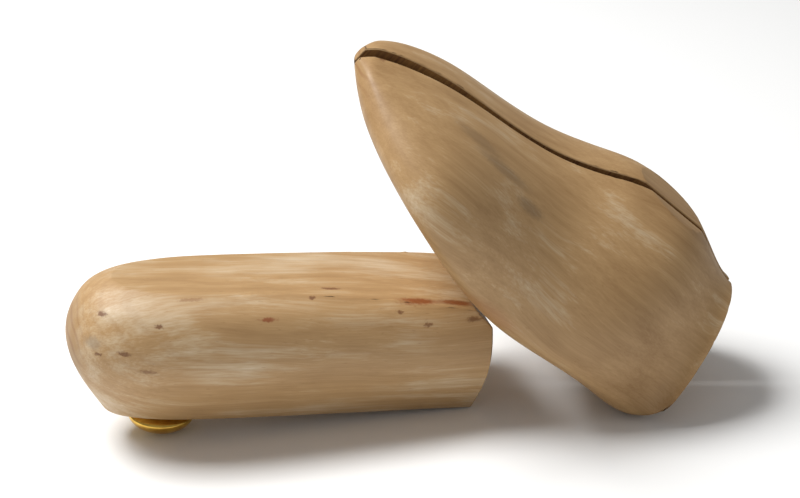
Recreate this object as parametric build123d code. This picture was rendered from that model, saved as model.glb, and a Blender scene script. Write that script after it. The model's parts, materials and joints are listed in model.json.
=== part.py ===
"""Two-piece wooden shoe tree for the left shoe, in millimetres.

The heel block lies upside down, on its knob and its front edge, and the forepart leans on it.
Each piece is modelled upright in its own frame, with X towards the toe and Z up, and is then laid
in place.  The forepart is sawn lengthwise into two halves, which springs hold apart.
"""
import os
from collections import namedtuple
from math import atan2, copysign, cos, pi, radians, sin, sqrt, tan

from build123d import *

STANDING = (Align.CENTER, Align.CENTER, Align.MIN)

# Heel block
HEEL_LENGTH = 135.0
HEEL_HEIGHT = 46.5
HEEL_FRONT_RISE = 5.5         # the sole curves up by this much at the front cut
HEEL_FRONT_CHAMFER = 4.6      # on the edge between the sole and the front cut
HEEL_WIDTH = 58.0
HEEL_TOP_WIDTH = 26.0
HEEL_SOLE_WIDTH = 32.0
HEEL_TOP_INSET = 12.5         # how far the back leans in from its fullest point up to the top
HEEL_SOLE_INSET = 14.0        # and down to the sole
HEEL_TAPER = 0.05             # share of the width lost from the heel to the front cut
HEEL_BACK_FULLNESS = 8.5      # exponents of the U-shaped outline, where 2 is an ellipse
HEEL_SIDE_FULLNESS = 2.2
HEEL_OUTLINE_STEPS = 16
SOLE_CURVE_END_SLOPE = 0.15
SAW_ALLOWANCE = 6.0           # the block is shaped this much too long, then cut square

Level = namedtuple("Level", "height widen_to_sole narrow_to_top")
# Outlines of the heel block. height: as a share of the block's.  widen_to_sole and narrow_to_top:
# how much of the change from the fullest outline to the sole's or the top's is reached there.
HEEL_LEVELS = [
    Level(0.00, 1.0, 0.0),
    Level(0.06, 0.60, 0.0),
    Level(0.17, 0.24, 0.0),
    Level(0.40, 0.0, 0.0),
    Level(0.75, 0.0, 0.42),
    Level(1.00, 0.0, 1.0),
]

# Brass knob and its steel stud
KNOB_RADIUS = 11.0
KNOB_HEIGHT = 9.0
KNOB_NECK_RADIUS = 6.0
KNOB_NECK_HEIGHT = 0.8
KNOB_RIM_HEIGHT = 3.4
KNOB_FROM_BACK = 31.5
STUD_RADIUS = 2.5
STUD_CHAMFER = 0.5
STUD_DEPTH_IN_BLOCK = 26.0
STUD_DEPTH_IN_KNOB = 5.5
HOLE_END_CLEARANCE = 1.0

# Forepart
FORE_LENGTH = 151.0
FORE_WIDTH_SCALE = 1.0        # widens or narrows every section
FORE_HEIGHT_SCALE = 1.0       # raises or lowers every section
FRONT_FLAT_HEIGHT = 64.4      # planed flat over the instep, extended back to the rear end
FRONT_FLAT_SLOPE = -0.02
REAR_FLAT_HEIGHT = 57.8       # planed flat down to the rear cut
REAR_FLAT_SLOPE = 0.33
FLAT_ROLL = 0.10              # both flats fall this much per millimetre towards the outer side
REAR_CUT_SLANT = 0.09         # the rear cut leans this much towards the toe
KERF = 2.6

# Guide screws, sleeves and springs across the kerf
SHANK_RADIUS = 2.5
THREAD_RADIUS = 2.1
THREAD_LENGTH = 17.0
HEAD_RADIUS = 4.6
HEAD_HEIGHT = 3.0
SLOT_WIDTH = 1.2
SLOT_DEPTH = 1.3
SLEEVE_WALL = 1.4
SLIDING_CLEARANCE = 0.06
HEAD_CLEARANCE = 0.1
RECESS_CLEARANCE = 0.9
POCKET_DEPTH = 7.0
SPRING_RADIUS = 3.9           # to the middle of the wire
SPRING_WIRE = 0.9
SPRING_PITCH = 2.2
SPRING_END_GAP = 0.15
POCKET_CLEARANCE = 0.6

# How the pieces lie
LEAN = 41.6                   # forepart's axis above the horizontal
TURN = -13.6                  # forepart turned about the vertical
LEANING_REACH = 11.4          # forepart's origin beyond where its axis meets the heel's edge
FORE_ASIDE = -10.3

Station = namedtuple("Station", "along sole crown outer inner shoulder lean drift")
# along: place as a share of the length.  sole, crown: lowest and highest point.
# outer, inner: half widths.  shoulder: height of the widest point above the sole.
# lean: sideways shift of the crown.  drift: sideways shift of the whole section.
STATIONS = [
    Station(0.00, 11.4, 60.0, 32.0, 28.0, 22.0, 0.0, 0.0),
    Station(0.20, 2.2, 66.0, 34.0, 31.0, 16.0, 7.0, 0.0),
    Station(0.42, 0.6, 59.6, 35.8, 37.0, 12.0, 13.0, 0.0),
    Station(0.62, 7.4, 50.4, 43.2, 42.8, 11.0, 12.6, 0.0),
    Station(0.80, 16.0, 47.8, 38.4, 38.0, 9.0, 10.8, 0.0),
    Station(0.90, 21.2, 44.6, 25.8, 29.0, 8.0, 7.6, 1.0),
    Station(0.96, 26.4, 41.2, 15.6, 19.0, 7.0, 3.6, 2.0),
    Station(1.00, 31.4, 36.6, 4.0, 5.0, 2.0, 0.0, 3.0),
]
CROWN_FULLNESS = 2.1          # exponents of the section's outline above and below its shoulder
SOLE_FULLNESS = 3.6
LEAN_GROWTH = 1.5             # how the crown's sideways shift grows with height
SECTION_POINTS = 16

Screw = namedtuple("Screw", "name x z grip")
# x, z: where the screw crosses the kerf.  grip: from the kerf to the floor of its head recess.
SCREWS = [Screw("rear", 44.0, 31.0, 19.0), Screw("front", 106.0, 29.0, 23.0)]


def power(value, exponent):
    return copysign(abs(value) ** exponent, value)


def heel_outline(level):
    """U-shaped outline of the heel block at one level, closed by a straight line past the front."""
    width = HEEL_WIDTH
    width += level.widen_to_sole * (HEEL_SOLE_WIDTH - HEEL_WIDTH)
    width += level.narrow_to_top * (HEEL_TOP_WIDTH - HEEL_WIDTH)
    inset = level.widen_to_sole * HEEL_SOLE_INSET + level.narrow_to_top * HEEL_TOP_INSET
    reach = HEEL_LENGTH - inset + SAW_ALLOWANCE
    points = []
    for step in range(HEEL_OUTLINE_STEPS + 1):
        angle = pi * step / HEEL_OUTLINE_STEPS
        back = power(sin(angle), 2 / HEEL_BACK_FULLNESS)
        side = power(cos(angle), 2 / HEEL_SIDE_FULLNESS)
        x = SAW_ALLOWANCE - reach * back
        y = width / 2 * side * (1 - HEEL_TAPER * (1 - back))
        points.append((x, y, HEEL_HEIGHT * level.height))
    return Wire([Edge.make_spline(points), Edge.make_line(points[-1], points[0])])


def sole_waste():
    """What is taken off under the front of the heel block: a long curve, then a chamfer."""
    rise = HEEL_FRONT_RISE
    curve = Edge.make_spline([(-HEEL_LENGTH, 0), (0, rise)], tangents=[(1, 0), (1, SOLE_CURVE_END_SLOPE)])
    below = -HEEL_HEIGHT
    edges = [
        curve,
        Edge.make_line((0, rise), (0, below)),
        Edge.make_line((0, below), (-HEEL_LENGTH, below)),
        Edge.make_line((-HEEL_LENGTH, below), (-HEEL_LENGTH, 0)),
    ]
    cut = extrude(Plane.XZ * Face(Wire(edges)), HEEL_WIDTH, both=True)
    corner = Pos(0, 0, rise) * Rot(0, 45, 0)
    side = HEEL_FRONT_CHAMFER * sqrt(2)
    return cut + corner * Box(side, 2 * HEEL_WIDTH, side)


def make_heel_block():
    block = Solid.make_loft([heel_outline(level) for level in HEEL_LEVELS])
    saw = Box(HEEL_LENGTH, 2 * HEEL_WIDTH, 4 * HEEL_HEIGHT, align=(Align.MIN, Align.CENTER, Align.CENTER))
    block -= saw
    block -= sole_waste()
    hole = Pos(knob_x(), 0, HEEL_HEIGHT - STUD_DEPTH_IN_BLOCK - HOLE_END_CLEARANCE)
    depth = STUD_DEPTH_IN_BLOCK + HOLE_END_CLEARANCE
    return block - hole * Cylinder(STUD_RADIUS, depth, align=STANDING)


def knob_x():
    return KNOB_FROM_BACK - HEEL_LENGTH


def make_knob():
    """Turned mushroom: short neck, swept rim and a low dome, bored for the stud."""
    rim = (KNOB_RADIUS, KNOB_RIM_HEIGHT)
    shoulder = (KNOB_NECK_RADIUS, KNOB_NECK_HEIGHT)
    top = (0, KNOB_HEIGHT)
    edges = [
        Edge.make_line((0, 0), (KNOB_NECK_RADIUS, 0)),
        Edge.make_line((KNOB_NECK_RADIUS, 0), shoulder),
        Edge.make_spline([shoulder, rim], tangents=[(1, 0), (0, 1)]),
        Edge.make_spline([rim, top], tangents=[(0, 1), (-1, 0)]),
        Edge.make_line(top, (0, 0)),
    ]
    profile = Plane.XZ * Face(Wire(edges))
    knob = revolve(profile, Axis.Z)
    knob -= Cylinder(STUD_RADIUS, STUD_DEPTH_IN_KNOB + HOLE_END_CLEARANCE / 2, align=STANDING)
    return Pos(knob_x(), 0, HEEL_HEIGHT) * knob


def make_stud():
    length = STUD_DEPTH_IN_BLOCK + STUD_DEPTH_IN_KNOB
    stud = Cylinder(STUD_RADIUS, length, align=STANDING)
    stud = chamfer(stud.edges(), STUD_CHAMFER)
    return Pos(knob_x(), 0, HEEL_HEIGHT - STUD_DEPTH_IN_BLOCK) * stud


def fore_section(station):
    """Closed section across the forepart: flat-bottomed below its shoulder, domed above."""
    x = FORE_LENGTH * station.along
    middle = station.sole + station.shoulder
    points = []
    for step in range(SECTION_POINTS):
        angle = 2 * pi * (step + 0.5) / SECTION_POINTS
        above = sin(angle) > 0
        exponent = 2 / (CROWN_FULLNESS if above else SOLE_FULLNESS)
        side = power(cos(angle), exponent)
        rise = power(sin(angle), exponent)
        height = station.crown - middle if above else station.shoulder
        half_width = station.outer if side > 0 else station.inner
        shift = station.drift + (station.lean * rise ** LEAN_GROWTH if above else 0)
        y = FORE_WIDTH_SCALE * (half_width * side - shift)
        points.append((x, y, FORE_HEIGHT_SCALE * (middle + height * rise)))
    return Wire([Edge.make_spline(points, periodic=True)])


def make_forepart():
    """The whole forepart before it is sawn, with its two planed flats and its square rear cut."""
    body = Solid.make_loft([fore_section(station) for station in STATIONS])
    for height, slope in (
        (FRONT_FLAT_HEIGHT, FRONT_FLAT_SLOPE),
        (REAR_FLAT_HEIGHT, REAR_FLAT_SLOPE),
    ):
        level = height * FORE_HEIGHT_SCALE
        flat = Plane(origin=(0, 0, level), x_dir=(1, 0, slope), z_dir=(-slope, FLAT_ROLL, 1))
        waste = Box(4 * FORE_LENGTH, 4 * HEEL_WIDTH, FORE_LENGTH, align=STANDING)
        body -= flat.location * waste
    heel_end = Plane(
        origin=(0, 0, STATIONS[0].sole * FORE_HEIGHT_SCALE),
        x_dir=(0, 1, 0),
        z_dir=(-1, 0, REAR_CUT_SLANT),
    )
    body -= heel_end.location * Box(4 * HEEL_WIDTH, 4 * FORE_LENGTH, FORE_LENGTH, align=STANDING)
    return body


def across(screw, y):
    """Frame on a screw's axis at a distance y outwards, with its Z pointing outwards."""
    z = FORE_HEIGHT_SCALE * screw.z
    return Plane(origin=(screw.x, y, z), x_dir=(1, 0, 0), z_dir=(0, 1, 0)).location


def bore(screw, radius, start, end):
    return across(screw, start) * Cylinder(radius, end - start, align=STANDING)


def make_halves():
    forepart = make_forepart()
    reach = 4 * HEEL_WIDTH
    outer_side = Pos(FORE_LENGTH / 2, reach / 2, 0) * Box(2 * FORE_LENGTH, reach, reach)
    inner_side = Pos(FORE_LENGTH / 2, -KERF - reach / 2, 0) * Box(2 * FORE_LENGTH, reach, reach)
    main = forepart & outer_side
    split = forepart & inner_side
    pocket = SPRING_RADIUS + SPRING_WIRE / 2 + POCKET_CLEARANCE
    sleeve_outside = SHANK_RADIUS + SLIDING_CLEARANCE + SLEEVE_WALL
    recess = HEAD_RADIUS + RECESS_CLEARANCE
    mid_kerf = -KERF / 2
    for screw in SCREWS:
        floor = -KERF - screw.grip
        thread_end = POCKET_DEPTH + THREAD_LENGTH + HOLE_END_CLEARANCE
        main -= bore(screw, pocket, mid_kerf, POCKET_DEPTH)
        main -= bore(screw, THREAD_RADIUS, mid_kerf, thread_end)
        split -= bore(screw, pocket, -KERF - POCKET_DEPTH, mid_kerf)
        split -= bore(screw, sleeve_outside, floor, mid_kerf)
        split -= bore(screw, recess, floor - reach, floor)
    return main, split


def make_guide_screw(screw):
    """Shoulder screw: slotted head, plain shank through the inner half, thread in the outer."""
    floor = -KERF - screw.grip - HEAD_CLEARANCE
    head = bore(screw, HEAD_RADIUS, floor - HEAD_HEIGHT, floor)
    slot_place = across(screw, floor - HEAD_HEIGHT)
    head -= slot_place * Box(4 * HEAD_RADIUS, SLOT_WIDTH, 2 * SLOT_DEPTH)
    shank = bore(screw, SHANK_RADIUS, floor, POCKET_DEPTH)
    thread = bore(screw, THREAD_RADIUS, POCKET_DEPTH, POCKET_DEPTH + THREAD_LENGTH)
    return head + shank + thread


def make_sleeve(screw):
    inside = SHANK_RADIUS + SLIDING_CLEARANCE
    start = -KERF - screw.grip
    end = -KERF - POCKET_DEPTH
    return bore(screw, inside + SLEEVE_WALL, start, end) - bore(screw, inside, start, end)


def make_spring(screw):
    """Coil spring between the two pocket floors."""
    start = -KERF - POCKET_DEPTH + SPRING_END_GAP + SPRING_WIRE / 2
    end = POCKET_DEPTH - SPRING_END_GAP - SPRING_WIRE / 2
    coil = Edge.make_helix(SPRING_PITCH, end - start, SPRING_RADIUS)
    wire_end = Plane(origin=coil @ 0, z_dir=coil % 0)
    spring = sweep(wire_end * Circle(SPRING_WIRE / 2), path=coil)
    return across(screw, start) * spring


def heel_tilt():
    return atan2(KNOB_HEIGHT, HEEL_LENGTH - KNOB_FROM_BACK)


def heel_place():
    """Upside down, tipped so that the knob and the front edge both rest on the ground."""
    tilt = heel_tilt()
    up = (-sin(tilt), 0, -cos(tilt))
    origin = (HEEL_HEIGHT * sin(tilt), 0, HEEL_HEIGHT * cos(tilt))
    return Plane(origin=origin, x_dir=(cos(tilt), 0, -sin(tilt)), z_dir=up).location


def fore_place():
    """Toe up and back over the heel block, with the outer half towards the front."""
    lean = radians(LEAN)
    turn = radians(TURN)
    forward = (-cos(lean) * cos(turn), -cos(lean) * sin(turn), sin(lean))
    up = (sin(lean) * cos(turn), sin(lean) * sin(turn), cos(lean))
    edge_height = HEEL_HEIGHT - HEEL_FRONT_RISE - HEEL_FRONT_CHAMFER
    forward_of_edge = edge_height * (sin(heel_tilt()) + cos(heel_tilt()) / tan(lean))
    origin = (forward_of_edge + LEANING_REACH, FORE_ASIDE, 0)
    return Plane(origin=origin, x_dir=forward, z_dir=up).location


def lowest(shapes):
    return min(shape.bounding_box().min.Z for shape in shapes)


def ground_centre(shapes):
    """Middle of the shapes' common box, on the ground."""
    boxes = [shape.bounding_box() for shape in shapes]
    x_middle = (min(box.min.X for box in boxes) + max(box.max.X for box in boxes)) / 2
    y_middle = (min(box.min.Y for box in boxes) + max(box.max.Y for box in boxes)) / 2
    return x_middle, y_middle


def build():
    heel = {
        "heel_block": make_heel_block(),
        "heel_knob": make_knob(),
        "knob_stud": make_stud(),
    }
    main, split = make_halves()
    fore = {"forepart_main_half": main, "forepart_split_half": split}
    for screw in SCREWS:
        fore[screw.name + "_guide_screw"] = make_guide_screw(screw)
        fore[screw.name + "_guide_sleeve"] = make_sleeve(screw)
        fore[screw.name + "_kerf_spring"] = make_spring(screw)
    nodes = {}
    for group, place in ((heel, heel_place()), (fore, fore_place())):
        laid = {name: place * shape for name, shape in group.items()}
        drop = Pos(0, 0, -lowest(laid.values()))
        nodes.update({name: drop * shape for name, shape in laid.items()})
    x_middle, y_middle = ground_centre(nodes.values())
    return {name: Pos(-x_middle, -y_middle, 0) * shape for name, shape in nodes.items()}


if __name__ == "__main__":
    os.makedirs("parts", exist_ok=True)
    for name, shape in build().items():
        export_step(shape, f"parts/{name}.step")
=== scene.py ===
import json

import bmesh
import bpy
import numpy as np
from math import atan, atan2, pi, radians
from mathutils import Matrix, Vector, noise
from mathutils.bvhtree import BVHTree


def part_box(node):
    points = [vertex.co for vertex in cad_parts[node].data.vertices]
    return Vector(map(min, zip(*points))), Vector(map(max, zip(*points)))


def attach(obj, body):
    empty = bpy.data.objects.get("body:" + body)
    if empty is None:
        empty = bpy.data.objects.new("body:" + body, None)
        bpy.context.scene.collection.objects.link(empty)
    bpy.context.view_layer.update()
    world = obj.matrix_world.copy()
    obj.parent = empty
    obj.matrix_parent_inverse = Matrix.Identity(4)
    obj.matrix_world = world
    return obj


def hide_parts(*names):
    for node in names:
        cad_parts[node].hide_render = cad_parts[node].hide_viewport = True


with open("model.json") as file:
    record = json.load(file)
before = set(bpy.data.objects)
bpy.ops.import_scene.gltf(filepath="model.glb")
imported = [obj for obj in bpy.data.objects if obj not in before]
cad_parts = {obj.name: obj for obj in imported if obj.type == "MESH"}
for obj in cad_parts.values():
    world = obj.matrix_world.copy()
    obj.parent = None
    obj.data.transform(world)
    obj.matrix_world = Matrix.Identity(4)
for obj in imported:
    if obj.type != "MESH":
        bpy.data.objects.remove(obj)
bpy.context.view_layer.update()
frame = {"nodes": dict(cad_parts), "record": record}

MM = 0.001


# Heel block.  One piece of pale, close-grained hardwood, turned and sanded by hand: flat on top,
# U-shaped from above, cut square at the front.  It lies upside down on its knob and front edge.

HEEL_LENGTH = 135.0
HEEL_HEIGHT = 46.5
HEEL_FRONT_RISE = 5.5
SOLE_CURVE_END_SLOPE = 0.15
HEEL_FRONT_CHAMFER = 4.6
HEEL_TAPER = 0.05
HEEL_BACK_FULLNESS = 8.5
HEEL_SIDE_FULLNESS = 2.2
SAW_ALLOWANCE = 6.0
HEEL_LEVELS = [0.0, 0.06, 0.17, 0.40, 0.75, 1.0]
HEEL_WIDTHS = [32.0, 42.4, 51.76, 58.0, 44.56, 26.0]
HEEL_INSETS = [14.0, 8.4, 3.36, 0.0, 5.25, 12.5]
SOLE_CUTS = 12
HEEL_ROWS = 60
HEEL_COLUMNS = 150
STUD_MIDDLE_HEIGHT = 36.25
STUD_HOLE_RADIUS = 2.5
STUD_HOLE_DEPTH = 27.0
KNOB_FROM_BACK = 31.5
KNOB_HEIGHT = 9.0
EDGE_SOFTENING = 0.45
SANDING_DEPTH = 0.14
SANDING_SPACING = 17.0


def curve_through(places, values, at):
    """Natural cubic through the values, which is how the wood runs from one template to the next."""
    x = np.array(places, float)
    y = np.array(values, float)
    gap = np.diff(x)
    count = len(x)
    matrix = np.eye(count)
    right = np.zeros(count)
    for i in range(1, count - 1):
        matrix[i, i - 1:i + 2] = gap[i - 1], 2 * (gap[i - 1] + gap[i]), gap[i]
        right[i] = 6 * ((y[i + 1] - y[i]) / gap[i] - (y[i] - y[i - 1]) / gap[i - 1])
    bend = np.linalg.solve(matrix, right)
    at = np.clip(np.asarray(at, float), x[0], x[-1])
    i = np.clip(np.searchsorted(x, at) - 1, 0, count - 2)
    left, rest = at - x[i], x[i + 1] - at
    ends = bend[i] * rest ** 3 + bend[i + 1] * left ** 3
    start = (y[i] / gap[i] - bend[i] * gap[i] / 6) * rest
    finish = (y[i + 1] / gap[i] - bend[i + 1] * gap[i] / 6) * left
    return ends / (6 * gap[i]) + start + finish


def even_steps(points, count, closed=False):
    """The same outline with its points evenly spaced."""
    if closed:
        points = np.vstack([points, points[:1]])
    run = np.r_[0, np.cumsum(np.linalg.norm(np.diff(points, axis=0), axis=1))]
    at = np.linspace(0, run[-1], count + 1 if closed else count)
    even = np.column_stack([np.interp(at, run, points[:, k]) for k in range(3)])
    return even[:-1] if closed else even


def skin(rows, closed_rows):
    """A closed solid in metres from rows of points, with a flat end at the first and last row."""
    shape = bmesh.new()
    grid = [[shape.verts.new(Vector(point) * MM) for point in row] for row in rows]
    for low, high in zip(grid, grid[1:]):
        for i in range(len(low) - 1 + closed_rows):
            j = (i + 1) % len(low)
            shape.faces.new((low[i], low[j], high[j], high[i]))
    if not closed_rows:
        shape.faces.new([row[0] for row in grid] + [row[-1] for row in reversed(grid)])
    shape.faces.new(grid[0])
    shape.faces.new(grid[-1])
    bmesh.ops.recalc_face_normals(shape, faces=shape.faces)
    return shape


def hand_sand(shape, seed):
    """The slight hollows and rises that hand sanding leaves."""
    shape.normal_update()
    offset = Vector((seed, seed, seed))
    moves = []
    for vert in shape.verts:
        wave = noise.noise(vert.co / (SANDING_SPACING * MM) + offset)
        moves.append(vert.normal * wave * SANDING_DEPTH * MM)
    for vert, move in zip(shape.verts, moves):
        vert.co += move


def saw(shape, point, normal):
    """Removes what is beyond a plane, and leaves a flat face."""
    every = shape.verts[:] + shape.edges[:] + shape.faces[:]
    result = bmesh.ops.bisect_plane(
        shape, geom=every, plane_co=Vector(point) * MM, plane_no=Vector(normal),
        dist=1e-6, clear_outer=True,
    )
    rim = [part for part in result["geom_cut"] if isinstance(part, bmesh.types.BMEdge)]
    bmesh.ops.holes_fill(shape, edges=rim, sides=0)


def drill(shape, holes):
    """Bores round holes, each given by its start, end and radius."""
    mesh = bpy.data.meshes.new("wood")
    shape.to_mesh(mesh)
    shape.free()
    blank = bpy.data.objects.new("wood", mesh)
    bpy.context.collection.objects.link(blank)
    bits = []
    for start, end, radius in holes:
        axis = Vector(end) - Vector(start)
        bit = bmesh.new()
        bmesh.ops.create_cone(
            bit, cap_ends=True, segments=56, radius1=radius * MM, radius2=radius * MM,
            depth=axis.length * MM,
        )
        turn = axis.to_track_quat("Z", "Y").to_matrix().to_4x4()
        middle = (Vector(start) + Vector(end)) / 2 * MM
        bit.transform(Matrix.Translation(middle) @ turn)
        bit_mesh = bpy.data.meshes.new("bit")
        bit.to_mesh(bit_mesh)
        bit.free()
        cutter = bpy.data.objects.new("bit", bit_mesh)
        bpy.context.collection.objects.link(cutter)
        cut = blank.modifiers.new("bore", "BOOLEAN")
        cut.operation = "DIFFERENCE"
        cut.solver = "EXACT"
        cut.object = cutter
        bits.append(cutter)
    seen = blank.evaluated_get(bpy.context.evaluated_depsgraph_get())
    bored = bmesh.new()
    bored.from_mesh(seen.to_mesh())
    for spent in bits + [blank]:
        bpy.data.objects.remove(spent)
    return bored


def soften(shape, width):
    """Takes the sharpness off every sawn, planed and bored edge."""
    bmesh.ops.remove_doubles(shape, verts=shape.verts, dist=0.12 * MM)
    bmesh.ops.dissolve_degenerate(shape, edges=shape.edges, dist=0.05 * MM)
    shape.normal_update()
    sharp = []
    for edge in shape.edges:
        if len(edge.link_faces) == 2:
            angle = edge.calc_face_angle(0)
            beside_cut = max(len(face.verts) for face in edge.link_faces) > 8
            if angle > radians(34) or (beside_cut and angle > radians(5)):
                sharp.append(edge)
    unsoftened = BVHTree.FromBMesh(shape)
    bmesh.ops.bevel(
        shape, geom=sharp, offset=width * MM, segments=2, profile=0.5, affect="EDGES",
        clamp_overlap=False,
    )
    # Where edges meet closer than the width, corners would fly out, so they go back to the surface.
    for vert in shape.verts:
        nearest, _, _, away = unsoftened.find_nearest(vert.co)
        if away > width * MM:
            vert.co = nearest


def finish_piece(name, shape, place, materials):
    """Turns a shape into a named piece that lies where the frame puts it."""
    mesh = bpy.data.meshes.new(name)
    shape.transform(place)
    shape.to_mesh(mesh)
    shape.free()
    mesh.shade_smooth()
    for material in materials:
        mesh.materials.append(material)
    piece = bpy.data.objects.new(name, mesh)
    bpy.context.collection.objects.link(piece)
    even = piece.modifiers.new("even_normals", "WEIGHTED_NORMAL")
    even.keep_sharp = True
    return piece


def linear(code):
    """A colour's hex code as the linear numbers that a shader takes."""
    channels = [int(code[k:k + 2], 16) / 255 for k in (1, 3, 5)]
    return [c / 12.92 if c <= 0.04045 else ((c + 0.055) / 1.055) ** 2.4 for c in channels] + [1.0]


def add(tree, kind, inputs=None, **settings):
    """Adds a node with its settings, and sets or links its inputs."""
    node = tree.nodes.new(kind)
    for name, value in settings.items():
        setattr(node, name, value)
    for key, value in (inputs or {}).items():
        if isinstance(value, bpy.types.NodeSocket):
            tree.links.new(value, node.inputs[key])
        else:
            node.inputs[key].default_value = value
    return node


def new_material(name):
    material = bpy.data.materials.new(name)
    material.use_nodes = True
    material.node_tree.nodes.clear()
    return material, material.node_tree


# Sanded maple-like wood: satin, pale yellow-brown, with faint growth rings, short ray flecks, fine
# fibres along the length and a few dark gum marks.  Nothing is varnished, so the sheen is low.
# Distances in the pattern are millimetres in the piece's own frame, with X along the grain.

WOOD_PALE = "#d2c0a3"
WOOD_BODY = "#b08d60"
WOOD_DEEP = "#8c683c"
WOOD_RING = "#865f35"
WOOD_END = "#967448"
GUM = "#6b3f20"
MINERAL = "#6f5a41"
RING_SPACING = 3.1
FIBRE_WIDTH = 0.55
FIBRE_LENGTH = 22.0


def own_millimetres(tree, place):
    """Millimetres in the piece's own frame, whichever way the piece lies."""
    back = place.inverted()
    point = add(tree, "ShaderNodeTexCoord").outputs["Object"]
    point = add(
        tree, "ShaderNodeMapping", {"Vector": point, "Location": back.translation, "Rotation": back.to_euler()},
    ).outputs[0]
    return add(tree, "ShaderNodeVectorMath", {0: point, "Scale": 1 / MM}, operation="SCALE").outputs[0]


def sanded_wood(name, lies, pith, warmth, marks):
    """pith: where the heart of the tree lay.  warmth: how much of the deeper colour there is.
    marks: (place, half sizes, colour, strength) of each gum mark, knot and streak."""
    material, tree = new_material(name)
    place = own_millimetres(tree, lies)

    # Slow bends in the grain, about 6 mm over 80 mm.
    stretched = add(
        tree, "ShaderNodeVectorMath", {0: place, 1: (1 / 80, 1 / 45, 1 / 45)}, operation="MULTIPLY",
    ).outputs[0]
    drift = add(
        tree, "ShaderNodeTexNoise", {"Vector": stretched, "Scale": 1.0, "Detail": 2.0},
    ).outputs["Color"]
    drift = add(
        tree, "ShaderNodeVectorMath", {0: drift, 1: (0.5, 0.5, 0.5)}, operation="SUBTRACT",
    ).outputs[0]
    bent = add(
        tree, "ShaderNodeVectorMath", {0: drift, 1: (0.0, 12.0, 12.0), 2: place},
        operation="MULTIPLY_ADD",
    ).outputs[0]

    # Growth rings round the pith, which runs nearly along the length.
    flat = add(
        tree, "ShaderNodeVectorMath", {0: bent, 1: (0.10, 1.0, 1.0)}, operation="MULTIPLY",
    ).outputs[0]
    from_pith = add(
        tree, "ShaderNodeVectorMath", {0: flat, 1: pith}, operation="DISTANCE",
    ).outputs["Value"]
    uneven = add(
        tree, "ShaderNodeTexNoise", {"Vector": flat, "Scale": 0.06, "Detail": 1.0},
    ).outputs["Fac"]
    phase = add(
        tree, "ShaderNodeMath", {0: uneven, 1: 9.0, 2: from_pith}, operation="MULTIPLY_ADD",
    ).outputs[0]
    phase = add(
        tree, "ShaderNodeMath", {0: phase, 1: 2 * pi / RING_SPACING}, operation="MULTIPLY",
    ).outputs[0]
    ring = add(tree, "ShaderNodeMath", {0: phase}, operation="SINE").outputs[0]
    ring = add(
        tree, "ShaderNodeMapRange", {"Value": ring, "From Min": 0.2, "From Max": 1.0},
        interpolation_type="SMOOTHSTEP",
    ).outputs[0]

    # Fibres, streaks a few millimetres wide, and clouds of warmer wood.
    along = add(
        tree, "ShaderNodeVectorMath", {0: bent, 1: (1 / FIBRE_LENGTH, 1 / FIBRE_WIDTH, 1 / FIBRE_WIDTH)},
        operation="MULTIPLY",
    ).outputs[0]
    fibre = add(
        tree, "ShaderNodeTexNoise", {"Vector": along, "Scale": 1.0, "Detail": 3.0, "Roughness": 0.6},
    ).outputs["Fac"]
    wide = add(
        tree, "ShaderNodeVectorMath", {0: bent, 1: (1 / 70, 1 / 4.5, 1 / 4.5)},
        operation="MULTIPLY",
    ).outputs[0]
    streak = add(
        tree, "ShaderNodeTexNoise", {"Vector": wide, "Scale": 1.0, "Detail": 2.0},
    ).outputs["Fac"]
    broad = add(
        tree, "ShaderNodeVectorMath", {0: place, 1: (1 / 42, 1 / 24, 1 / 24)}, operation="MULTIPLY",
    ).outputs[0]
    cloud = add(
        tree, "ShaderNodeTexNoise", {"Vector": broad, "Scale": 1.0, "Detail": 4.0},
    ).outputs["Fac"]

    # Ray flecks and pores: dashes about 2 mm long, drawn a little wider than real so that they show.
    dash = add(
        tree, "ShaderNodeVectorMath", {0: bent, 1: (1 / 2.6, 1 / 0.5, 1 / 0.5)},
        operation="MULTIPLY",
    ).outputs[0]
    pore = add(
        tree, "ShaderNodeTexNoise", {"Vector": dash, "Scale": 1.0, "Detail": 1.0},
    ).outputs["Fac"]
    pore = add(
        tree, "ShaderNodeMapRange", {"Value": pore, "From Min": 0.66, "From Max": 0.80},
        interpolation_type="SMOOTHSTEP",
    ).outputs[0]

    tone = add(
        tree, "ShaderNodeMath", {0: cloud, 1: 0.55, 2: warmth}, operation="MULTIPLY_ADD",
    ).outputs[0]
    tone = add(
        tree, "ShaderNodeMath", {0: streak, 1: 0.40, 2: tone}, operation="MULTIPLY_ADD",
    ).outputs[0]
    tone = add(
        tree, "ShaderNodeMath", {0: fibre, 1: 0.30, 2: tone}, operation="MULTIPLY_ADD",
    ).outputs[0]
    ramp = add(tree, "ShaderNodeValToRGB", {"Fac": tone})
    stops = ramp.color_ramp.elements
    stops[0].position, stops[0].color = 0.35, linear(WOOD_PALE)
    stops[1].position, stops[1].color = 0.95, linear(WOOD_DEEP)
    middle = stops.new(0.62)
    middle.color = linear(WOOD_BODY)
    colour = ramp.outputs["Color"]
    ring_share = add(tree, "ShaderNodeMath", {0: ring, 1: 0.11}, operation="MULTIPLY").outputs[0]
    colour = add(
        tree, "ShaderNodeMix", {0: ring_share, 6: colour, 7: linear(WOOD_RING)}, data_type="RGBA",
    ).outputs[2]
    pore_share = add(tree, "ShaderNodeMath", {0: pore, 1: 0.30}, operation="MULTIPLY").outputs[0]
    colour = add(
        tree, "ShaderNodeMix", {0: pore_share, 6: colour, 7: linear(WOOD_RING)}, data_type="RGBA",
    ).outputs[2]

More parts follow.
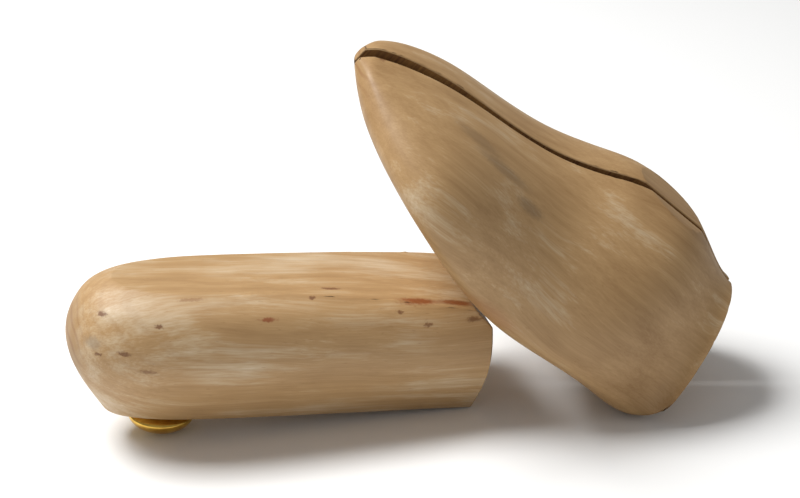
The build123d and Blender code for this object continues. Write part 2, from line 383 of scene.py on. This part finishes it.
    # End grain on the cuts across the length drinks more light.
    normal = add(tree, "ShaderNodeTexCoord").outputs["Normal"]
    facing = add(
        tree, "ShaderNodeVectorMath", {0: normal, 1: lies.col[0][:3]}, operation="DOT_PRODUCT",
    ).outputs["Value"]
    facing = add(tree, "ShaderNodeMath", {0: facing}, operation="ABSOLUTE").outputs[0]
    end = add(
        tree, "ShaderNodeMapRange", {"Value": facing, "From Min": 0.75, "From Max": 0.97, "To Max": 0.8},
        interpolation_type="SMOOTHSTEP",
    ).outputs[0]
    end_colour = add(
        tree, "ShaderNodeMix", {0: ring, 6: linear(WOOD_END), 7: linear(WOOD_RING)},
        data_type="RGBA",
    ).outputs[2]
    colour = add(
        tree, "ShaderNodeMix", {0: end, 6: colour, 7: end_colour}, data_type="RGBA",
    ).outputs[2]

    # Gum marks, knots and mineral streaks, each where the piece has it, with ragged ends.
    ragged = add(
        tree, "ShaderNodeTexNoise", {"Vector": place, "Scale": 0.9, "Detail": 2.0},
    ).outputs["Color"]
    ragged = add(
        tree, "ShaderNodeVectorMath", {0: ragged, 1: (0.5, 0.5, 0.5)}, operation="SUBTRACT",
    ).outputs[0]
    torn = add(
        tree, "ShaderNodeVectorMath", {0: ragged, 1: (4.0, 1.6, 1.6), 2: place},
        operation="MULTIPLY_ADD",
    ).outputs[0]
    for centre, half, tint, strength in marks:
        away = add(
            tree, "ShaderNodeVectorMath", {0: torn, 1: centre}, operation="SUBTRACT",
        ).outputs[0]
        away = add(tree, "ShaderNodeVectorMath", {0: away, 1: half}, operation="DIVIDE").outputs[0]
        away = add(tree, "ShaderNodeVectorMath", {0: away}, operation="LENGTH").outputs["Value"]
        inside = add(
            tree, "ShaderNodeMapRange", {"Value": away, "From Min": 1.15, "From Max": 0.35, "To Max": strength},
            interpolation_type="SMOOTHSTEP",
        ).outputs[0]
        colour = add(
            tree, "ShaderNodeMix", {0: inside, 6: colour, 7: linear(tint)}, data_type="RGBA",
        ).outputs[2]

    height = add(
        tree, "ShaderNodeMath", {0: fibre, 1: 0.6, 2: pore}, operation="MULTIPLY_ADD",
    ).outputs[0]
    bump = add(
        tree, "ShaderNodeBump", {"Height": height, "Strength": 0.16, "Distance": 0.12 * MM},
    ).outputs[0]
    gloss = add(
        tree, "ShaderNodeMapRange", {"Value": streak, "To Min": 0.46, "To Max": 0.60},
    ).outputs[0]
    surface = add(
        tree, "ShaderNodeBsdfPrincipled", {"Base Color": colour, "Roughness": gloss, "Normal": bump, "IOR": 1.5},
    )
    add(tree, "ShaderNodeOutputMaterial", {"Surface": surface.outputs[0]})
    return material


# Marks on the heel block: place and half sizes in millimetres, colour and strength.
HEEL_MARKS = [
    ((-125.1, 14.1, 6.1), (2.3, 2.0, 0.9), GUM, 0.85),
    ((-108.3, 22.5, 7.0), (1.8, 1.4, 0.8), GUM, 0.8),
    ((-74.2, 23.6, 5.3), (3.2, 1.5, 0.9), "#85431f", 0.85),
    ((-126.6, 19.1, 17.5), (1.6, 1.6, 0.7), GUM, 0.8),
    ((-119.2, 23.2, 15.7), (3.2, 1.6, 0.8), GUM, 0.8),
    ((-111.7, 25.6, 21.1), (3.4, 1.8, 1.0), "#7d5530", 0.75),
    ((-59.2, 17.6, 1.0), (1.1, 1.2, 0.9), GUM, 0.8),
    ((-51.7, 11.6, 0.8), (3.6, 1.1, 1.0), GUM, 0.8),
    ((-31.1, 22.6, 4.6), (1.2, 1.2, 0.8), GUM, 0.8),
    ((-22.0, 25.0, 8.3), (1.6, 1.4, 0.9), GUM, 0.75),
    ((-6.6, 24.3, 7.1), (3.2, 1.4, 1.0), GUM, 0.7),
    ((-24.0, 18.8, 2.7), (8.5, 2.6, 1.9), "#84481b", 1.0),
    ((-10.8, 18.2, 4.0), (9.0, 2.6, 1.9), "#84481b", 0.95),
    ((-98.0, 16.4, 1.0), (6.0, 0.9, 0.6), "#8d6238", 0.6),
    ((-128.0, 16.8, 14.5), (4.0, 4.5, 2.6), "#8b7a66", 0.5),
]

tilt = atan2(KNOB_HEIGHT, HEEL_LENGTH - KNOB_FROM_BACK)
ahead = Vector((np.cos(tilt), 0, -np.sin(tilt)))
across = Vector((0, -1, 0))
above = ahead.cross(across)
knob_x = KNOB_FROM_BACK - HEEL_LENGTH
stud_middle = sum((Vector(corner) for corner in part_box("knob_stud")), Vector()) / 2
origin = stud_middle - (ahead * knob_x + above * STUD_MIDDLE_HEIGHT) * MM
heel_place = Matrix.Translation(origin) @ Matrix((ahead, across, above)).transposed().to_4x4()


def sole_rise(share):
    """How high the sole has curved up at this share of the length from the back."""
    end = SOLE_CURVE_END_SLOPE * HEEL_LENGTH
    return HEEL_FRONT_RISE * (3 - 2 * share) * share ** 2 + end * (share ** 3 - share ** 2)


rows = []
half_turn = np.linspace(0, 1, 400)
quarter = pi / 2 * half_turn ** 4
angle = np.r_[quarter, pi - quarter[-2::-1]]
for share in np.linspace(0, 1, HEEL_ROWS):
    width = curve_through(HEEL_LEVELS, HEEL_WIDTHS, share)
    inset = curve_through(HEEL_LEVELS, HEEL_INSETS, share)
    back = np.abs(np.sin(angle)) ** (2 / HEEL_BACK_FULLNESS)
    side = np.sign(np.cos(angle)) * np.abs(np.cos(angle)) ** (2 / HEEL_SIDE_FULLNESS)
    x = SAW_ALLOWANCE - (HEEL_LENGTH - inset + SAW_ALLOWANCE) * back
    y = width / 2 * side * (1 - HEEL_TAPER * (1 - back))
    z = np.full_like(x, HEEL_HEIGHT * share)
    rows.append(even_steps(np.column_stack([x, y, z]), HEEL_COLUMNS))
block = skin(rows, closed_rows=False)
hand_sand(block, 3.0)
for step in range(SOLE_CUTS):
    start, end = step / SOLE_CUTS, (step + 1) / SOLE_CUTS
    low, high = sole_rise(start), sole_rise(end)
    slope = (high - low) / (end - start) / HEEL_LENGTH
    saw(block, (HEEL_LENGTH * (start - 1), 0, low), (slope, 0, -1))
saw(block, (0, 0, 0), (1, 0, 0))
saw(block, (0, 0, HEEL_FRONT_RISE + HEEL_FRONT_CHAMFER), (1, 0, -1))
block = drill(block, [((knob_x, 0, HEEL_HEIGHT - STUD_HOLE_DEPTH), (knob_x, 0, HEEL_HEIGHT + 5), STUD_HOLE_RADIUS)])
soften(block, EDGE_SOFTENING)
heel_wood = sanded_wood("sanded_pale_hardwood_heel", heel_place, (0.0, -34.0, 70.0), -0.02, HEEL_MARKS)
heel_block = finish_piece("heel_block_wood", block, heel_place, [heel_wood])
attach(heel_block, "heel")
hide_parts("heel_block")


# Heel knob.  Turned brass mushroom, polished and thinly lacquered, on a steel stud that screws
# into the block.  The lathe leaves rings too fine to see, which stretch its highlights.

KNOB_PROFILE = [
    (2.6, 0.0), (5.6, 0.0), (6.0, 0.25), (6.0, 0.75), (6.6, 0.95), (8.4, 1.35), (9.9, 2.0),
    (10.75, 2.75), (11.0, 3.4), (10.9, 4.1), (10.4, 5.1), (9.5, 6.15), (8.2, 7.1), (6.6, 7.9),
    (4.7, 8.5), (2.4, 8.87), (0.0, 9.0),
]
KNOB_SEGMENTS = 128
BRASS = "#e2bb5c"
BRASS_AGED = "#b98a35"


def spin(profile, segments):
    """A solid of revolution about Z from its outline, finely divided along the outline."""
    outline = np.array([(r, 0.0, z) for r, z in profile])
    fine = even_steps(outline, 60)
    shape = bmesh.new()
    rings = []
    for r, _, z in fine:
        if r < 0.01:
            rings.append([shape.verts.new((0, 0, z * MM))])
        else:
            turn = [2 * pi * k / segments for k in range(segments)]
            rings.append([shape.verts.new((r * np.cos(t) * MM, r * np.sin(t) * MM, z * MM)) for t in turn])
    for low, high in zip(rings, rings[1:]):
        for i in range(segments):
            j = (i + 1) % segments
            if len(high) == 1:
                shape.faces.new((low[i], low[j], high[0]))
            else:
                shape.faces.new((low[i], low[j], high[j], high[i]))
    hole = [shape.verts.new((v.co.x, v.co.y, 5.7 * MM)) for v in rings[0]]
    for i in range(segments):
        j = (i + 1) % segments
        shape.faces.new((rings[0][j], rings[0][i], hole[i], hole[j]))
    shape.faces.new(hole)
    bmesh.ops.recalc_face_normals(shape, faces=shape.faces)
    return shape


knob_place = heel_place @ Matrix.Translation(Vector((knob_x, 0, HEEL_HEIGHT)) * MM)
brass, tree = new_material("turned_polished_brass")
place = own_millimetres(tree, knob_place)
age = add(
    tree, "ShaderNodeTexNoise", {"Vector": place, "Scale": 0.16, "Detail": 3.0},
).outputs["Fac"]
age = add(tree, "ShaderNodeMapRange", {"Value": age, "From Min": 0.45, "From Max": 0.75}).outputs[0]
tint = add(
    tree, "ShaderNodeMix", {0: age, 6: linear(BRASS), 7: linear(BRASS_AGED)}, data_type="RGBA",
).outputs[2]
gloss = add(tree, "ShaderNodeMapRange", {"Value": age, "To Min": 0.13, "To Max": 0.24}).outputs[0]
radius = add(
    tree, "ShaderNodeVectorMath", {0: place, 1: (1.0, 1.0, 0.0)}, operation="MULTIPLY",
).outputs[0]
radius = add(tree, "ShaderNodeVectorMath", {0: radius}, operation="LENGTH").outputs["Value"]
# Tool rings every 0.35 mm, coarser than real so that they show.
rings = add(tree, "ShaderNodeMath", {0: radius, 1: 2 * pi / 0.35}, operation="MULTIPLY").outputs[0]
rings = add(tree, "ShaderNodeMath", {0: rings}, operation="SINE").outputs[0]
bump = add(
    tree, "ShaderNodeBump", {"Height": rings, "Strength": 0.05, "Distance": 0.01 * MM},
).outputs[0]
surface = add(
    tree, "ShaderNodeBsdfPrincipled", {"Base Color": tint, "Metallic": 1.0, "Roughness": gloss, "Normal": bump},
)
add(tree, "ShaderNodeOutputMaterial", {"Surface": surface.outputs[0]})

heel_knob = finish_piece("heel_knob_brass", spin(KNOB_PROFILE, KNOB_SEGMENTS), knob_place, [brass])
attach(heel_knob, "heel")
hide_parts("heel_knob")


# Forepart.  Shaped from one piece of the same wood, planed with two flats from the instep down to
# the rear cut, then sawn lengthwise in two.  The inner half slides on two screws across the kerf.

FORE_LENGTH = 151.0
# Sections along the forepart: place in millimetres from the rear cut, lowest point, highest point,
# outer and inner half widths, and the height of the widest point above the sole.  They follow only
# the frame's extreme widths and heights: the surfaces differ by up to 5 mm near the rear cut.
SECTIONS = np.array([
    (0.0, 11.4, 60.0, 32.0, 28.0, 22.0),
    (1.5, 7.31, 58.4, 29.21, 31.86, 14.0),
    (3.0, 5.15, 57.4, 27.88, 34.14, 12.3),
    (5.0, 3.43, 57.07, 27.19, 35.92, 11.8),
    (8.0, 2.07, 57.5, 27.28, 36.92, 12.0),
    (12.0, 1.40, 58.83, 28.33, 36.72, 12.8),
    (18.0, 1.42, 61.43, 30.55, 35.09, 14.3),
    (24.0, 1.75, 64.0, 32.69, 33.15, 15.6),
    (30.2, 1.99, 66.0, 34.34, 31.68, 15.8),
    (38.0, 1.85, 66.7, 35.60, 31.83, 14.7),
    (46.0, 1.23, 65.7, 35.87, 33.40, 13.7),
    (54.0, 0.55, 63.83, 35.79, 35.35, 12.9),
    (63.4, 0.38, 59.72, 36.28, 38.03, 12.3),
    (75.0, 1.82, 54.91, 38.50, 41.46, 11.9),
    (85.0, 4.40, 51.99, 41.36, 43.05, 11.6),
    (93.6, 7.16, 50.45, 43.55, 43.40, 11.2),
    (100.0, 9.32, 49.73, 44.42, 43.05, 10.9),
    (107.0, 11.63, 49.17, 44.14, 42.10, 10.4),
    (114.0, 13.8, 48.59, 42.25, 40.78, 9.8),
    (120.8, 15.8, 47.82, 38.63, 38.64, 9.2),
    (128.0, 18.02, 46.59, 33.36, 35.06, 8.6),
    (135.9, 21.06, 44.61, 25.98, 29.43, 8.0),
    (140.0, 23.12, 43.27, 21.64, 25.52, 7.6),
    (145.0, 26.34, 41.19, 15.70, 19.20, 6.6),
    (148.0, 28.7, 39.49, 11.32, 13.80, 5.0),
    (151.0, 31.4, 36.60, 4.00, 5.00, 2.0),
])
REAR_SOLE = 11.4
SHIFT_STATIONS = [0.0, 0.20, 0.42, 0.62, 0.80, 0.90, 0.96, 1.0]
CROWN_LEAN = [0.0, 7.0, 13.0, 12.6, 10.8, 7.6, 3.6, 0.0]
DRIFT = [0.0, 0.0, 0.0, 0.0, 0.0, 1.0, 2.0, 3.0]
CROWN_FULLNESS = 2.1
SOLE_FULLNESS = 3.6
LEAN_GROWTH = 1.5
FRONT_FLAT = (64.4, -0.02)
REAR_FLAT = (57.8, 0.33)
FLAT_ROLL = 0.10
REAR_CUT_SLANT = 0.09
OUTER_TOE_DROP = 2.0
KERF = 2.6
REAR_MOUNT_HEIGHT = 28.0
REAR_MOUNT_ASIDE = 14.0
SCREWS = [(44.0, 31.0, 19.0), (106.0, 29.0, 23.0)]
POCKET_RADIUS = 4.95
POCKET_DEPTH = 7.0
THREAD_RADIUS = 2.1
THREAD_LENGTH = 18.0
SLEEVE_RADIUS = 3.96
RECESS_RADIUS = 5.5
FORE_ROWS = 74
FORE_COLUMNS = 150
# Painted shade: both kerf wall colours are darker than the wood and stand in for the shade inside the narrow gap.
KERF_PAINTED_SHADE = "#92672f"
KERF_DEEP_PAINTED_SHADE = "#623a14"
# A grey-brown mineral streak runs down the outer side, with a warm stain below it.
FORE_MARKS = [
    ((109.0, 17.9, 43.4), (12.0, 4.0, 1.8), MINERAL, 0.35),
    ((97.0, 21.7, 42.1), (13.0, 4.0, 1.8), MINERAL, 0.45),
    ((83.0, 25.9, 39.1), (7.0, 3.6, 2.4), MINERAL, 0.5),
    ((53.0, 31.3, 27.8), (1.0, 1.4, 1.0), GUM, 0.8),
    ((73.0, 35.8, 6.4), (16.0, 6.0, 5.0), "#9a5f2f", 0.35),
    ((145.3, 0.0, 39.0), (1.4, 3.0, 1.4), GUM, 0.6),
]

back_cut = {mount["name"]: mount for mount in frame["record"]["mounts"]}["forepart_rear_face"]
facing_back = Vector(back_cut["axis"]).normalized()
joints = {joint["name"]: joint for joint in frame["record"]["behaviour"]["joints"]}
outward = Vector(joints["split_half_close"]["axis"]).normalized()
slant = atan(REAR_CUT_SLANT)
upward = outward.cross(facing_back)
toeward = upward * np.sin(slant) - facing_back * np.cos(slant)
skyward = upward * np.cos(slant) + facing_back * np.sin(slant)
mount_x = REAR_CUT_SLANT * (REAR_MOUNT_HEIGHT - REAR_SOLE)
inset = toeward * mount_x + outward * REAR_MOUNT_ASIDE + skyward * REAR_MOUNT_HEIGHT
origin = Vector(back_cut["pos_m"]) - inset * MM
fore_place = Matrix.Translation(origin) @ Matrix((toeward, outward, skyward)).transposed().to_4x4()


def forepart_rows(toe_drop):
    """Sections across the forepart, closer together towards the toe, where it rounds over."""
    rear = 0.10 * np.linspace(0, 1, 16) ** 1.5
    middle = np.linspace(0.10, 0.86, FORE_ROWS - 20)
    toe = 1 - 0.14 * np.linspace(1, 0, 21)[1:] ** 1.6
    shares = np.r_[rear[:-1], middle, toe]
    places = SECTIONS[:, 0] / FORE_LENGTH
    tables = [curve_through(places, values, shares) for values in SECTIONS.T[1:]]
    tables += [curve_through(SHIFT_STATIONS, values, shares) for values in (CROWN_LEAN, DRIFT)]
    tables[1] = tables[1] - toe_drop * np.clip((shares - 0.55) / 0.4, 0, 1) ** 1.5
    turn = np.linspace(0, 2 * pi, 1200, endpoint=False)
    rows = []
    for share, sole, crown, outer, inner, shoulder, lean, drift in zip(shares, *tables):
        rise = np.sin(turn)
        fullness = np.where(rise > 0, CROWN_FULLNESS, SOLE_FULLNESS)
        side = np.sign(np.cos(turn)) * np.abs(np.cos(turn)) ** (2 / fullness)
        lift = np.sign(rise) * np.abs(rise) ** (2 / fullness)
        above = np.maximum(lift, 0)
        y = np.where(side > 0, outer, inner) * side - drift - lean * above ** LEAN_GROWTH
        z = sole + shoulder + np.where(rise > 0, crown - sole - shoulder, shoulder) * lift
        row = np.column_stack([np.full_like(y, FORE_LENGTH * share), y, z])
        rows.append(even_steps(row, FORE_COLUMNS, closed=True))
    return rows


def forepart_half(outer_half):
    shape = skin(forepart_rows(OUTER_TOE_DROP if outer_half else 0), closed_rows=True)
    hand_sand(shape, 11.0)
    for height, slope in (FRONT_FLAT, REAR_FLAT):
        saw(shape, (0, 0, height), (-slope, FLAT_ROLL, 1))
    saw(shape, (0, 0, REAR_SOLE), (-1, 0, REAR_CUT_SLANT))
    holes = []
    if outer_half:
        saw(shape, (0, 0, 0), (0, -1, 0))
        for x, z, _ in SCREWS:
            holes.append(((x, -1, z), (x, POCKET_DEPTH, z), POCKET_RADIUS))
            holes.append(((x, -1, z), (x, POCKET_DEPTH + THREAD_LENGTH, z), THREAD_RADIUS))
    else:
        saw(shape, (0, -KERF, 0), (0, 1, 0))
        for x, z, grip in SCREWS:
            holes.append(((x, -KERF - POCKET_DEPTH, z), (x, 0, z), POCKET_RADIUS))
            holes.append(((x, -KERF - grip - 1, z), (x, 0, z), SLEEVE_RADIUS))
            holes.append(((x, -KERF - grip - 60, z), (x, -KERF - grip, z), RECESS_RADIUS))
    shape = drill(shape, holes)
    soften(shape, EDGE_SOFTENING)
    for face in shape.faces:
        if abs(face.normal.y) > 0.999 and -KERF - 0.1 < face.calc_center_median().y / MM < 0.1:
            face.material_index = 1
    return shape


# The saw leaves the kerf's walls rough, with the marks of its teeth. Their darker orange-brown colours, with random
# dark mottling, are painted shade of the narrow gap.
saw_cut, tree = new_material("sawn_kerf_with_painted_shade")
place = own_millimetres(tree, fore_place)
teeth = add(
    tree, "ShaderNodeVectorMath", {0: place, 1: (1 / 0.8, 0.1, 1 / 30)}, operation="MULTIPLY",
).outputs[0]
teeth = add(
    tree, "ShaderNodeTexNoise", {"Vector": teeth, "Scale": 1.0, "Detail": 2.0},
).outputs["Fac"]
# Painted shade: random mottling that mixes in the darker shaded wall colour.
painted_gap_shade = add(
    tree, "ShaderNodeTexNoise", {"Vector": place, "Scale": 0.05, "Detail": 2.0},
).outputs["Fac"]
shade = add(tree, "ShaderNodeMath", {0: teeth, 1: painted_gap_shade}, operation="ADD").outputs[0]
shade = add(
    tree, "ShaderNodeMapRange", {"Value": shade, "From Min": 0.75, "From Max": 1.3},
).outputs[0]
tint = add(
    tree, "ShaderNodeMix", {0: shade, 6: linear(KERF_PAINTED_SHADE), 7: linear(KERF_DEEP_PAINTED_SHADE)},
    data_type="RGBA",
).outputs[2]
bump = add(
    tree, "ShaderNodeBump", {"Height": teeth, "Strength": 0.5, "Distance": 0.15 * MM},
).outputs[0]
surface = add(
    tree, "ShaderNodeBsdfPrincipled", {"Base Color": tint, "Roughness": 0.8, "Normal": bump},
)
add(tree, "ShaderNodeOutputMaterial", {"Surface": surface.outputs[0]})

fore_wood = sanded_wood("sanded_pale_hardwood_forepart", fore_place, (0.0, 18.0, -60.0), 0.05, FORE_MARKS)
outer_half = finish_piece("forepart_outer_half", forepart_half(True), fore_place, [fore_wood, saw_cut])
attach(outer_half, "forepart")
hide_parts("forepart_main_half")
inner_half = finish_piece("forepart_inner_half", forepart_half(False), fore_place, [fore_wood, saw_cut])
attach(inner_half, "split_half")
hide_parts("forepart_split_half")


# Screws, stud, sleeves and springs.  Zinc-plated steel screws and stud, brass sleeves cut from
# drawn tube, and springs wound from hard-drawn wire.  They keep the shapes of the frame.

METALS = [
    ("zinc_plated_steel", "#b9bcc0", 0.34, ["knob_stud", "rear_guide_screw", "front_guide_screw"]),
    ("drawn_brass_tube", "#cfa954", 0.28, ["rear_guide_sleeve", "front_guide_sleeve"]),
    ("hard_drawn_spring_wire", "#8f9296", 0.30, ["rear_kerf_spring", "front_kerf_spring"]),
]
for name, code, roughness, nodes in METALS:
    metal, tree = new_material(name)
    own = add(tree, "ShaderNodeTexCoord").outputs["Object"]
    place = add(
        tree, "ShaderNodeVectorMath", {0: own, "Scale": 1 / MM}, operation="SCALE",
    ).outputs[0]
    film = add(
        tree, "ShaderNodeTexNoise", {"Vector": place, "Scale": 0.7, "Detail": 3.0},
    ).outputs["Fac"]
    dull = [channel * 0.7 for channel in linear(code)[:3]] + [1.0]
    tint = add(
        tree, "ShaderNodeMix", {0: film, 6: linear(code), 7: dull}, data_type="RGBA",
    ).outputs[2]
    gloss = add(
        tree, "ShaderNodeMapRange", {"Value": film, "To Min": roughness - 0.1, "To Max": roughness + 0.12},
    ).outputs[0]
    surface = add(
        tree, "ShaderNodeBsdfPrincipled", {"Base Color": tint, "Metallic": 1.0, "Roughness": gloss},
    )
    add(tree, "ShaderNodeOutputMaterial", {"Surface": surface.outputs[0]})
    for node in nodes:
        mesh = frame["nodes"][node].data
        mesh.materials.clear()
        mesh.materials.append(metal)


# Floor.  Matt white card, so the object stands on a plain pale ground.

FLOOR_SIZE = 8.0
floor_shape = bmesh.new()
bmesh.ops.create_grid(floor_shape, x_segments=1, y_segments=1, size=FLOOR_SIZE / 2)
card, tree = new_material("matt_white_card")
own = add(tree, "ShaderNodeTexCoord").outputs["Object"]
tooth = add(
    tree, "ShaderNodeTexNoise", {"Vector": own, "Scale": 1200.0, "Detail": 2.0},
).outputs["Fac"]
bump = add(
    tree, "ShaderNodeBump", {"Height": tooth, "Strength": 0.05, "Distance": 0.05 * MM},
).outputs[0]
surface = add(
    tree, "ShaderNodeBsdfPrincipled", {"Base Color": linear("#f4f4f3"), "Roughness": 0.9, "Normal": bump},
)
add(tree, "ShaderNodeOutputMaterial", {"Surface": surface.outputs[0]})
floor_mesh = bpy.data.meshes.new("floor")
floor_shape.to_mesh(floor_mesh)
floor_shape.free()
floor_mesh.materials.append(card)
floor = bpy.data.objects.new("floor", floor_mesh)
bpy.context.collection.objects.link(floor)


# Studio.  One large soft lamp above and to the left, a weak wide one in front, and a pale room.

LAMPS = [
    ("key_softbox", (-0.55, 0.25, 1.10), 0.60, 20.0),
    ("front_fill", (-0.60, -1.40, 0.60), 1.20, 0.4),
]
aim = Vector((0.0, 0.0, 0.05))
for name, where, size, power in LAMPS:
    lamp = bpy.data.lights.new(name, "AREA")
    lamp.shape = "SQUARE"
    lamp.size = size
    lamp.energy = power
    holder = bpy.data.objects.new(name, lamp)
    bpy.context.collection.objects.link(holder)
    holder.location = where
    holder.rotation_euler = (aim - Vector(where)).to_track_quat("-Z", "Y").to_euler()
room = bpy.data.worlds.new("room")
room.use_nodes = True
room.node_tree.nodes["Background"].inputs["Color"].default_value = linear("#fbfbfb")
room.node_tree.nodes["Background"].inputs["Strength"].default_value = 0.30
bpy.context.scene.world = room
bpy.context.scene.view_settings.view_transform = "Standard"


# Camera.  Slightly above the object and turned a little to the left side of it.

CAMERA_AZIMUTH = 14.0
CAMERA_ELEVATION = 24.86
CAMERA_DISTANCE = 600.0
CAMERA_TARGET = (-21.7, 0.0, 56.0)
CAMERA_LENS = 600.0 / 0.33 / 800 * 36
turn, tip = radians(CAMERA_AZIMUTH), radians(CAMERA_ELEVATION)
look = Vector((np.sin(turn) * np.cos(tip), np.cos(turn) * np.cos(tip), -np.sin(tip)))
front_edge = heel_place @ (Vector((0, 0, HEEL_HEIGHT)) * MM)
target = front_edge + Vector(CAMERA_TARGET) * MM
lens = bpy.data.cameras.new("camera")
lens.lens = CAMERA_LENS
lens.sensor_width = 36
camera = bpy.data.objects.new("camera", lens)
bpy.context.collection.objects.link(camera)
camera.location = target - look * CAMERA_DISTANCE * MM
camera.rotation_euler = look.to_track_quat("-Z", "Y").to_euler()
bpy.context.scene.camera = camera
